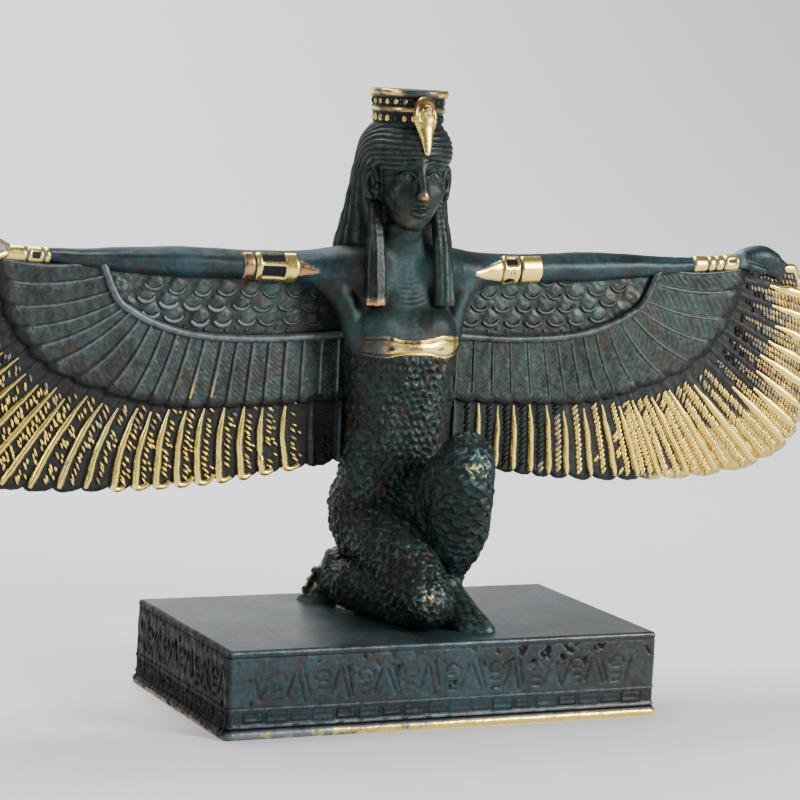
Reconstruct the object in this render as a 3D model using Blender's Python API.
# A winged woman kneeling on a plinth: a small bronze, cast in one piece.
# Metres, +Z up. The origin is the middle of the plinth's underside, +X is the viewer's right and -Y the front.
# The figure is a free form: its tables are in figure units, FIGURE_UNITS from the plinth's top to the crown's top.

import math

import bmesh
import bpy
import numpy as np
from mathutils import Matrix, Vector

# Plinth
PLINTH_LENGTH = 0.165
PLINTH_DEPTH = 0.092
PLINTH_HEIGHT = 0.0306
PLINTH_CORNER = 0.0015
TOP_ROUNDING = 0.0022
LIP_REACH = 0.0013
LIP_HEIGHT = 0.0019
LINE_REACH = 0.0004
BAND_TOP = 0.0098
STROKE_DEPTH = 0.0005
STROKE_WIDTH = 0.0007
STROKE_HEIGHT = 0.0105
STROKE_PITCH = 0.0062

# Figure
FIGURE_HEIGHT = 0.1894
WING_SPAN = 0.366
CROWN_DIAMETER = 0.0285

FIGURE_UNITS = 189.0
HALF_SPAN_UNITS = 183.0
WING_ROOT = 18.0
OUTER_FEATHERS = 26
MIDDLE_FEATHERS = 20
BODY_TRIANGLES = 1900
FACE_TRIANGLES = 800
WIG_TRIANGLES = 950
WING_TRIANGLES = 2300
FIGURE_TRIANGLES = 8600
WELD_UNITS = 0.05

BRONZE = (0.035, 0.085, 0.085, 1.0)


# Tables and curves

def smooth_rows(rows, count):
    # A Catmull-Rom curve through the rows, read at evenly spaced places
    points = np.array(rows, float)
    points = np.vstack([2 * points[0] - points[1], points, 2 * points[-1] - points[-2]])
    place = np.linspace(0, len(rows) - 1, count)
    index = np.minimum(place.astype(int), len(rows) - 2)
    f = (place - index)[:, None]
    a, b, c, d = (points[index + k] for k in range(4))
    return 0.5 * (2 * b + (c - a) * f + (2 * a - 5 * b + 4 * c - d) * f ** 2 + (3 * b - a - 3 * c + d) * f ** 3)


# Mesh helpers

def new_object(name, bm):
    bmesh.ops.recalc_face_normals(bm, faces=bm.faces)
    mesh = bpy.data.meshes.new(name)
    bm.to_mesh(mesh)
    bm.free()
    obj = bpy.data.objects.new(name, mesh)
    bpy.context.collection.objects.link(obj)
    return obj


def bake(obj):
    # The modifiers' result becomes the object's own mesh
    graph = bpy.context.evaluated_depsgraph_get()
    mesh = bpy.data.meshes.new_from_object(obj.evaluated_get(graph))
    obj.modifiers.clear()
    obj.data = mesh
    return obj


def remove(obj):
    bpy.data.objects.remove(obj)


def combine(obj, others, operation):
    for other in others:
        cut = obj.modifiers.new("Combine", 'BOOLEAN')
        cut.operation = operation
        cut.solver = 'EXACT'
        cut.object = other
        bake(obj)
        remove(other)
    return obj


def add_rings(bm, rings):
    # A closed skin over a list of rings, each an array of points, with a fan at both ends
    loops = [[bm.verts.new(p) for p in ring] for ring in rings]
    n = len(loops[0])
    for low, high in zip(loops, loops[1:]):
        for i in range(n):
            j = (i + 1) % n
            bm.faces.new((low[i], low[j], high[j], high[i]))
    for loop in (loops[0], loops[-1]):
        middle = bm.verts.new(sum((v.co for v in loop), Vector()) / n)
        for i in range(n):
            bm.faces.new((loop[i], loop[(i + 1) % n], middle))


def add_column(bm, rows, sides=24, rings=28, power=2.0):
    # An upright form from rows of height, half width, half depth and middle y; power above 2 squares it
    angle = np.linspace(0, 2 * math.pi, sides, endpoint=False)
    cos, sin = np.cos(angle), np.sin(angle)
    x = np.sign(cos) * np.abs(cos) ** (2 / power)
    y = np.sign(sin) * np.abs(sin) ** (2 / power)
    table = smooth_rows(rows, rings)
    add_rings(bm, [np.column_stack([a * x, yc + b * y, np.full(sides, z)]) for z, a, b, yc in table])


def add_limb(bm, rows, sides=14, rings=14, flat=1.0, side=None):
    # A round-ended limb from rows of x, y, z and radius; flat presses it along its second axis
    table = smooth_rows(rows, rings)
    centre, radius = table[:, :3], table[:, 3]
    along = np.gradient(centre, axis=0)
    along /= np.linalg.norm(along, axis=1)[:, None]
    end_turns = np.radians((75, 50, 25))
    starts = [(centre[0] - along[0] * radius[0] * math.sin(a), along[0], radius[0] * math.cos(a)) for a in end_turns]
    ends = [(centre[-1] + along[-1] * radius[-1] * math.sin(a), along[-1], radius[-1] * math.cos(a))
            for a in reversed(end_turns)]
    stations = starts + list(zip(centre, along, radius)) + ends
    reference = np.array(side if side else (0.0, 0.0, 1.0))
    angle = np.linspace(0, 2 * math.pi, sides, endpoint=False)
    rings_out = []
    for c, t, r in stations:
        first = np.cross(reference, t)
        first /= np.linalg.norm(first)
        second = np.cross(t, first)
        rings_out.append(c + r * np.cos(angle)[:, None] * first + r * flat * np.sin(angle)[:, None] * second)
    add_rings(bm, rings_out)


def add_ball(bm, centre, radii, segments=24, rows=16):
    matrix = Matrix.Translation(centre) @ Matrix.Diagonal((*radii, 1.0))
    bmesh.ops.create_uvsphere(bm, u_segments=segments, v_segments=rows, radius=1.0, matrix=matrix)


def add_lathe(bm, profile, middle_y, sides):
    # A turned form round an upright axis at x = 0, from radius and height, closed at both ends
    angle = np.linspace(0, 2 * math.pi, sides, endpoint=False)
    add_rings(bm, [np.column_stack([r * np.cos(angle), middle_y + r * np.sin(angle), np.full(sides, z)])
                   for r, z in profile])


def mirrored(rows):
    return [(-row[0], *row[1:]) for row in rows]


def melt(obj, voxel, passes, triangles):
    # Overlapping closed forms become one skin: remeshed, smoothed, and thinned to a triangle count
    remesh = obj.modifiers.new("Melt", 'REMESH')
    remesh.mode = 'VOXEL'
    remesh.voxel_size = voxel
    smooth = obj.modifiers.new("Smooth", 'SMOOTH')
    smooth.factor = 0.5
    smooth.iterations = passes
    bake(obj)
    return thin_out(obj, triangles)


def thin_out(obj, triangles):
    obj.data.calc_loop_triangles()
    thin = obj.modifiers.new("Thin", 'DECIMATE')
    thin.ratio = min(1.0, triangles / len(obj.data.loop_triangles))
    return bake(obj)


def weld(obj, distance):
    # Corners closer together than the distance become one, so no sliver of a face is left
    bm = bmesh.new()
    bm.from_mesh(obj.data)
    bmesh.ops.remove_doubles(bm, verts=bm.verts, dist=distance)
    bm.to_mesh(obj.data)
    bm.free()
    return obj


# The figure, in figure units: z runs up from the plinth's top

TORSO = [(20, 16, 11, 15), (30, 20, 14, 14.5), (40, 20.5, 14.5, 13), (50, 19.3, 12.5, 11), (62, 18.2, 11.2, 9),
         (74, 18.3, 11.2, 8.6), (86, 19.8, 12, 8), (96, 21.2, 12.8, 7.6), (104, 20.4, 12.2, 8.8), (112, 19.6, 10.6, 11.6),
         (120, 19.4, 9.4, 13.4), (127, 18.4, 8.2, 14.4), (133, 12, 7.4, 13.6), (138, 7.6, 7.2, 12), (148, 7.2, 7.4, 10.4)]
KNEELING_THIGH = [(-7.5, 14, 34, 13.4), (-6, 3, 30.5, 13.2), (-3.2, -12, 23, 12.2), (-0.6, -23.5, 13.6, 11.5),
                  (0.4, -26, 11, 11.4)]
KNEELING_CALF = [(-0.5, -22, 9, 10.2), (-4.5, -8, 9.6, 10.8), (-8.5, 5, 9.8, 10.4), (-11.5, 14, 9.5, 8.8),
                 (-13.5, 22, 9.5, 6.8)]
BACK_FOOT = [(-13.5, 24, 15, 5.6), (-15.5, 28, 8, 5.2), (-18.5, 32, 1.5, 4.8), (-19, 32.5, -1, 4.8)]
RAISED_THIGH = [(8.5, 13, 32, 12), (11.2, 2, 40.5, 11), (13, -13, 51, 9.7), (12.7, -25.5, 60.4, 9.8), (12.5, -27.5, 60, 9.8)]
RAISED_CALF = [(12.8, -14, 45, 9.2), (13.2, -9, 34, 9.2), (14, -7, 22, 6.4)]
RAISED_SHIN = [(12.5, -27.5, 61, 10), (13.6, -22, 47, 11), (14.4, -16.5, 33, 10.6), (13.5, -11.5, 21, 7.3),
               (12.8, -8.5, 11, 4.8), (12.8, -7, 4, 4.6)]
FRONT_FOOT = [(13, -4, 3, 5), (16, -14, 3.6, 5), (19, -24, 1.6, 5), (21.5, -33, -0.6, 4)]
SLEEVE = [(36, 13, 122, 4.6), (28, 10, 117, 4.6), (22.5, 7.6, 110, 4.4), (19.6, 5.4, 99, 4)]
LAP_FILL = [(2, 8, 38, 12), (5, -3, 31, 10.5), (8, -9, 22, 8.5), (10, -12, 12, 7), (11, -13, 2, 6)]
ARM = [(14, 13, 123.4, 10), (22, 14, 124, 9), (32, 15, 124, 8), (45, 16.4, 124.4, 6.9), (60, 17.6, 124.6, 5.5),
       (80, 18.6, 125.6, 5.6), (104, 19.4, 126, 4.4), (124, 19.6, 126.6, 3.1), (140, 19.6, 127, 3.1)]
HAND = [(139, 19.4, 127.2, 3.2), (147, 18.8, 129.6, 4.2), (155, 18.6, 130, 4.6), (163, 18.8, 127, 3.4),
        (171, 19, 125.2, 2.2)]
FACE_SKULL = ((0, 8.5, 160.5), (11.4, 14.6, 17.4))
FACE_JAW = ((0, 3.2, 152.6), (8.8, 9.4, 9.2))
FACE_PUSHES = [((0, -6.5, 157.5), (1.7, 4, 6.2), (0, -1.7, 0)), ((0, -6.5, 153.6), (2.3, 4, 1.9), (0, -2.6, 0)),
               ((4.6, -6, 160), (2.9, 4, 1.9), (0, 1.5, 0)), ((-4.6, -6, 160), (2.9, 4, 1.9), (0, 1.5, 0)),
               ((4.6, -6, 163), (4.4, 4, 1.3), (0, -0.6, 0)), ((-4.6, -6, 163), (4.4, 4, 1.3), (0, -0.6, 0)),
               ((0, -6, 149.4), (3.6, 4, 1.7), (0, -1.2, 0)), ((0, -6, 144.6), (3.8, 4, 2.4), (0, -1.0, 0)),
               ((6.6, -3, 154), (3, 5, 3), (0, -0.7, 0)), ((-6.6, -3, 154), (3, 5, 3), (0, -0.7, 0))]
WIG_CAP = ((0, 10.8, 167.4), (16.6, 17.4, 11.0))
WIG_CAP_RIDGES = 9
WIG_BACK = [(112, 15, 3, 20), (122, 21, 4.5, 20), (132, 23.2, 7, 18.5), (142, 20.8, 8.4, 18), (152, 18.8, 9.6, 16.8),
            (162, 17.4, 11.4, 15), (170, 15.6, 12.4, 13), (176, 12, 11, 11.4)]
LAPPET = [(11.8, 8, 152, 3.4), (12.2, 5.2, 144, 4.2), (12.8, 3.2, 134, 4.9), (13, 2.2, 125, 5.0), (13, 1.4, 117.5, 5.0)]
EYE_CENTRE = (4.6, -3.9, 159.8)
CROWN_MIDDLE_Y = 11.0
COBRA = [(0, -0.8, 185, 2.0), (0, -2.8, 183.2, 3.2), (0, -3.8, 179.6, 3.9), (0, -4.8, 175, 2.9), (0, -6.4, 170.5, 2.0),
         (0, -7.2, 167.4, 1.2)]


def make_body():
    bm = bmesh.new()
    add_column(bm, TORSO, power=2.2)
    for rows in (KNEELING_THIGH, KNEELING_CALF, RAISED_THIGH, RAISED_CALF, RAISED_SHIN, FRONT_FOOT, BACK_FOOT,
                 LAP_FILL, SLEEVE, mirrored(SLEEVE)):
        add_limb(bm, rows)
    for rows in (ARM, HAND):
        add_limb(bm, rows, sides=12, rings=26, side=(0, 1, 0))
        add_limb(bm, mirrored(rows), sides=12, rings=26, side=(0, 1, 0))
    for side in (-1, 1):
        add_ball(bm, (9.8 * side, 2.4, 103), (8.6, 6.0, 8.0))
        add_ball(bm, (8 * side, 19, 40), (11, 10, 11))
    # the plinth's surface rises to the back foot, and a low fillet runs round the knee and the front foot
    add_ball(bm, (-19, 32, 0), (12, 9, 3.6))
    add_ball(bm, (-6, 0, 0), (9, 26, 2.6))
    add_ball(bm, (1.4, -25, -0.4), (11.4, 13, 3))
    add_ball(bm, (17.5, -24, -0.4), (8, 13, 1.8))
    return melt(new_object("body", bm), voxel=1.15, passes=9, triangles=BODY_TRIANGLES)


def push(bm, centre, reach, shift):
    # Moves the skin near a centre, as a thumb would
    for v in bm.verts:
        d = [(v.co[k] - centre[k]) / reach[k] for k in range(3)]
        v.co += Vector(shift) * math.exp(-sum(q * q for q in d))


def make_head():
    bm = bmesh.new()
    add_ball(bm, *FACE_SKULL, segments=72, rows=56)
    for centre, reach, shift in FACE_PUSHES:
        push(bm, centre, reach, shift)
    add_ball(bm, *FACE_JAW, segments=48, rows=32)
    for side in (-1, 1):
        add_ball(bm, (EYE_CENTRE[0] * side, *EYE_CENTRE[1:]), (2.9, 2.0, 1.5))
        add_ball(bm, (12.4 * side, 4.4, 158.6), (1.5, 2.4, 4.2))
    face = melt(new_object("face", bm), voxel=0.45, passes=3, triangles=FACE_TRIANGLES)

    bm = bmesh.new()
    add_ball(bm, *WIG_CAP, segments=64, rows=60)
    low, high = WIG_CAP[0][2] - WIG_CAP[1][2], WIG_CAP[0][2] + WIG_CAP[1][2]
    for v in bm.verts:
        # combed ridges run round the cap
        ridge = 1 + 0.022 * math.cos(2 * math.pi * WIG_CAP_RIDGES * (v.co.z - low) / (high - low))
        v.co.x *= ridge
        v.co.y = WIG_CAP[0][1] + (v.co.y - WIG_CAP[0][1]) * ridge
    add_column(bm, WIG_BACK, sides=40, rings=40, power=2.4)
    for rows in (LAPPET, mirrored(LAPPET)):
        add_limb(bm, rows, sides=16, rings=20, flat=0.6, side=(0, 1, 0))
    wig = melt(new_object("wig", bm), voxel=0.6, passes=3, triangles=WIG_TRIANGLES)
    return face, wig


def make_crown():
    bm = bmesh.new()
    r = CROWN_DIAMETER / FIGURE_HEIGHT * FIGURE_UNITS / 2
    profile = [(0.86 * r, 174), (0.90 * r, 177), (0.90 * r, 178.4), (0.865 * r, 178.8), (0.88 * r, 181.6),
               (0.925 * r, 182), (0.925 * r, 183.2), (0.89 * r, 183.6), (0.92 * r, 186.2), (0.985 * r, 186.6),
               (r, 188.4), (0.97 * r, FIGURE_UNITS)]
    add_lathe(bm, profile, CROWN_MIDDLE_Y, 20)
    crown = new_object("crown", bm)
    bm = bmesh.new()
    add_limb(bm, COBRA, sides=6, rings=7, flat=0.55, side=(0, 1, 0))
    return crown, new_object("cobra", bm)


def make_bands():
    # The dress band below the bust, and the armlets and bracelets, as collars on what they clasp
    bm = bmesh.new()
    sides = 20
    angle = np.linspace(0, 2 * math.pi, sides, endpoint=False)
    torso = smooth_rows(TORSO, 600)
    rings = []
    for z, out in ((94.6, 0.3), (95.4, 1.3), (97.6, 1.1), (99.8, 1.4), (100.6, 0.3)):
        a, b, yc = (np.interp(z, torso[:, 0], torso[:, k]) for k in (1, 2, 3))
        rings.append(np.column_stack([(a + out) * np.cos(angle), yc + (b + out) * np.sin(angle), np.full(sides, z)]))
    add_rings(bm, rings)
    collars = [new_object("dress_band", bm)]
    arm = smooth_rows(ARM, 400)
    sides = 10
    angle = np.linspace(0, 2 * math.pi, sides, endpoint=False)
    armlet = ((36, 0.2), (42, 1.2), (43.6, 1.2), (44, 0.7), (51.6, 0.7), (52, 1.2), (53.6, 0.7), (58.4, 0.5))
    bracelet = ((126, 0.7), (130.6, 0.8), (131, 0.4), (131.4, 0.9), (135.6, 0.9), (136, 0.4), (136.4, 0.8), (140, 0.7))
    for steps in (armlet, bracelet):
        for side in (-1, 1):
            bm = bmesh.new()
            rings = []
            for x, out in steps:
                y, z, r = (np.interp(x, arm[:, 0], arm[:, k]) for k in (1, 2, 3))
                r = r + out
                rings.append(np.column_stack([np.full(sides, x * side), y + r * np.cos(angle), z + r * np.sin(angle)]))
            add_rings(bm, rings)
            collars.append(new_object("armlet", bm))
    return collars


# The wings: three plates, the outer feathers, the middle feathers over them and the scaled shoulder panel

# x and z of each curve, from the body out to the tip
OUTER_ROOTS = [(8, 78), (38, 77), (57, 76), (76, 75), (92, 76), (104, 78.5), (116, 82.5), (125, 87.5), (134, 94.5),
               (141, 103), (147.5, 114), (149.5, 128)]
OUTER_TIPS = [(8, 55), (38, 51), (59, 48), (80, 46), (102, 45), (122, 45), (143, 46.5), (162, 51), (176, 61),
              (182, 80), (183, 102), (172, 127.5)]
MIDDLE_ROOTS = [(8, 100.5), (26, 99.6), (47, 98.4), (66, 98.8), (79, 100.4), (90, 103.6), (99, 108), (105, 113),
                (111, 126)]
MIDDLE_TIPS = [(8, 77), (26, 76), (48.5, 74.6), (71, 74), (87.5, 75.2), (104, 79), (128, 88.4), (143, 105), (150.5, 127.5)]
PANEL_TOP = [(8, 126), (30, 124.6), (50, 124.6), (70, 125.2), (90, 125.6), (108, 128)]
WING_BACK_Y = 22.4
OUTER_FRONT_Y = 19.4
MIDDLE_FRONT_Y = 17.6
PANEL_FRONT_Y = 18.2

# across one feather: share of its width, height of the relief and how far the tip reaches
FEATHER = [(0.0, 0.0, 0.0), (0.34, 0.4, 0.85), (0.8, 1.0, 1.0)]


def add_feathers(bm, roots, tips, count, front_y, back_y, relief, scallop, lap):
    # One plate of feathers side by side: each has a raised quill, a lower vane and a rounded tip
    steps = [(k + u, h, reach) for k in range(count) for u, h, reach in FEATHER] + [(count, 0.0, 0.0)]
    fine = 40 * count + 1
    root_curve, tip_curve = smooth_rows(roots, fine), smooth_rows(tips, fine)
    columns = []
    for place, h, reach in steps:
        index = int(round(place * 40))
        root, tip = root_curve[index], tip_curve[index]
        along = (tip - root) / np.linalg.norm(tip - root)
        start = root - along * lap
        end = tip + along * scallop * (reach - 0.5)
        front = []
        for share, lift in ((0.0, 0.45), (1.0, 1.0)):
            x, z = start + (end - start) * share
            front.append(bm.verts.new((x, front_y - relief * h * lift, z)))
        back = [bm.verts.new((x, back_y + 0.5 * relief * h, z)) for x, z in (start, end)]
        columns.append((front, back))
    for (f0, b0), (f1, b1) in zip(columns, columns[1:]):
        for i in range(len(f0) - 1):
            bm.faces.new((f0[i], f1[i], f1[i + 1], f0[i + 1]))
        bm.faces.new((b0[0], b0[1], b1[1], b1[0]))
        bm.faces.new((f0[0], b0[0], b1[0], f1[0]))
        bm.faces.new((f0[-1], f1[-1], b1[-1], b0[-1]))
    for front, back in (columns[0], columns[-1]):
        bm.faces.new((*front, back[1], back[0]))


def make_wing():
    plates = []
    bm = bmesh.new()
    add_feathers(bm, OUTER_ROOTS, OUTER_TIPS, OUTER_FEATHERS, OUTER_FRONT_Y, WING_BACK_Y, 0.9, 2.4, 5.0)
    plates.append(new_object("outer", bm))
    bm = bmesh.new()
    add_feathers(bm, MIDDLE_ROOTS, MIDDLE_TIPS, MIDDLE_FEATHERS, MIDDLE_FRONT_Y, WING_BACK_Y + 0.3, 0.7, 1.6, 1.0)
    plates.append(new_object("middle", bm))

    bm = bmesh.new()
    count = 12
    top, low = smooth_rows(PANEL_TOP, count + 1), smooth_rows(MIDDLE_ROOTS, count + 1)
    columns = [[bm.verts.new((x, y, z)) for x, z, y in ((*t, PANEL_FRONT_Y), (*b, PANEL_FRONT_Y),
                                                        (*b, WING_BACK_Y + 0.6), (*t, WING_BACK_Y + 0.6))]
               for t, b in zip(top, low)]
    for c0, c1 in zip(columns, columns[1:]):
        for i in range(4):
            j = (i + 1) % 4
            bm.faces.new((c0[i], c1[i], c1[j], c0[j]))
    for column in (columns[0], columns[-1]):
        bm.faces.new(column)
    plates.append(new_object("panel", bm))

    bm = bmesh.new()
    rim = [(x, MIDDLE_FRONT_Y - 0.1, z, 1.25) for x, z in MIDDLE_ROOTS]
    add_limb(bm, rim, sides=6, rings=11, side=(0, 1, 0))
    plates.append(new_object("rim", bm))

    # rows of scales on the panel, each a low boss with its point down
    for row in range(3):
        for k in range(9 - row):
            x = 38 + 8.4 * k + (4.2 if row % 2 else 0.0)
            z = 104.5 + 5.2 * row + 0.0022 * max(0.0, x - 60) ** 2
            if z > 118 or x > 100:
                continue
            bm = bmesh.new()
            ring = [Vector((x + 3.4 * math.cos(a), PANEL_FRONT_Y + 0.2, z + 2.7 * math.sin(a)))
                    for a in np.radians((-90, -35, 35, 145, 215))]
            front = [bm.verts.new(p) for p in ring]
            back = [bm.verts.new(p + Vector((0, 1.5, 0))) for p in ring]
            peak = bm.verts.new((x, PANEL_FRONT_Y - 1.0, z - 1.2))
            for i in range(5):
                j = (i + 1) % 5
                bm.faces.new((front[i], front[j], peak))
                bm.faces.new((front[j], front[i], back[i], back[j]))
            bm.faces.new(back)
            plates.append(new_object("scale", bm))
    return thin_out(combine(plates[0], plates[1:], 'UNION'), WING_TRIANGLES)


def mirror_copy(obj):
    bm = bmesh.new()
    bm.from_mesh(obj.data)
    for v in bm.verts:
        v.co.x = -v.co.x
    bmesh.ops.reverse_faces(bm, faces=bm.faces)
    mesh = bpy.data.meshes.new("mirror")
    bm.to_mesh(mesh)
    bm.free()
    copy = bpy.data.objects.new("mirror", mesh)
    bpy.context.collection.objects.link(copy)
    return copy


def to_metres(obj):
    # Figure units to metres; past the wing root, x also follows the span
    unit = FIGURE_HEIGHT / FIGURE_UNITS
    root = WING_ROOT * unit
    stretch = (WING_SPAN / 2 - root) / ((HALF_SPAN_UNITS - WING_ROOT) * unit)
    for v in obj.data.vertices:
        x = v.co.x * unit
        if abs(x) > root:
            x = math.copysign(root + (abs(x) - root) * stretch, x)
        v.co = (x, v.co.y * unit, PLINTH_HEIGHT + v.co.z * unit)


def make_plinth():
    bm = bmesh.new()
    steps = [(LIP_REACH - 0.0004, 0.0), (LIP_REACH, 0.0004), (LIP_REACH, LIP_HEIGHT), (LINE_REACH, LIP_HEIGHT + 0.0007),
             (LINE_REACH, LIP_HEIGHT + 0.0022), (0.0, LIP_HEIGHT + 0.0026), (0.0, BAND_TOP - 0.0004),
             (LINE_REACH, BAND_TOP), (LINE_REACH, BAND_TOP + 0.0006), (0.0, BAND_TOP + 0.001)]
    for turn in (0, 45, 90):
        a = math.radians(turn)
        steps.append((-TOP_ROUNDING * (1 - math.cos(a)), PLINTH_HEIGHT - TOP_ROUNDING * (1 - math.sin(a))))
    rings = []
    for out, z in steps:
        ring = []
        for quarter in range(4):
            for turn in (0, 90):
                a = math.radians(90 * quarter + turn)
                sx, sy = ((1, 1), (-1, 1), (-1, -1), (1, -1))[quarter]
                r = max(PLINTH_CORNER + out, 0.0002)
                ring.append((sx * (PLINTH_LENGTH / 2 - PLINTH_CORNER) + r * math.cos(a),
                             sy * (PLINTH_DEPTH / 2 - PLINTH_CORNER) + r * math.sin(a), z))
        rings.append(np.array(ring))
    add_rings(bm, rings)
    return new_object("plinth", bm)


def make_strokes():
    # Rows of shallow strokes where the frieze runs: upright, slanted and short level ones in turn
    strokes = []
    field_middle = (BAND_TOP + 0.001 + PLINTH_HEIGHT - TOP_ROUNDING) / 2
    count = int((PLINTH_LENGTH - 4 * STROKE_PITCH) / STROKE_PITCH)
    for face in (-1, 1):
        for k in range(count):
            x = (k - (count - 1) / 2) * STROKE_PITCH
            lean = math.radians((0, 24, -24, 90)[(k * 3 + (face > 0)) % 4])
            length = STROKE_HEIGHT if abs(lean) < 1 else STROKE_PITCH * 0.8
            bm = bmesh.new()
            matrix = (Matrix.Translation((x, face * PLINTH_DEPTH / 2, field_middle))
                      @ Matrix.Rotation(lean, 4, 'Y')
                      @ Matrix.Diagonal((STROKE_WIDTH, 2 * STROKE_DEPTH, length, 1.0)))
            bmesh.ops.create_cube(bm, size=1.0, matrix=matrix)
            strokes.append(new_object("stroke", bm))
    return strokes


def make_material(name, colour, metallic, roughness):
    material = bpy.data.materials.new(name)
    material.use_nodes = True
    shader = material.node_tree.nodes["Principled BSDF"]
    shader.inputs["Base Color"].default_value = colour
    shader.inputs["Metallic"].default_value = metallic
    shader.inputs["Roughness"].default_value = roughness
    return material


def make_statue():
    body = make_body()
    face, wig = make_head()
    crown, cobra = make_crown()
    wing = make_wing()
    pieces = [face, wig, crown, cobra, *make_bands(), mirror_copy(wing), wing]
    weld(thin_out(combine(body, pieces, 'UNION'), FIGURE_TRIANGLES), WELD_UNITS)
    to_metres(body)
    plinth = combine(make_plinth(), make_strokes(), 'DIFFERENCE')
    combine(plinth, [body], 'UNION')
    plinth.name = "statue_casting"
    plinth.data.name = "statue_casting"
    plinth.data.materials.clear()
    plinth.data.materials.append(make_material("patinated_bronze", BRONZE, 0.8, 0.42))
    plinth.data.shade_smooth()
    plinth.data.set_sharp_from_angle(angle=math.radians(35))
    return plinth


for old in list(bpy.data.objects):
    bpy.data.objects.remove(old)
make_statue()
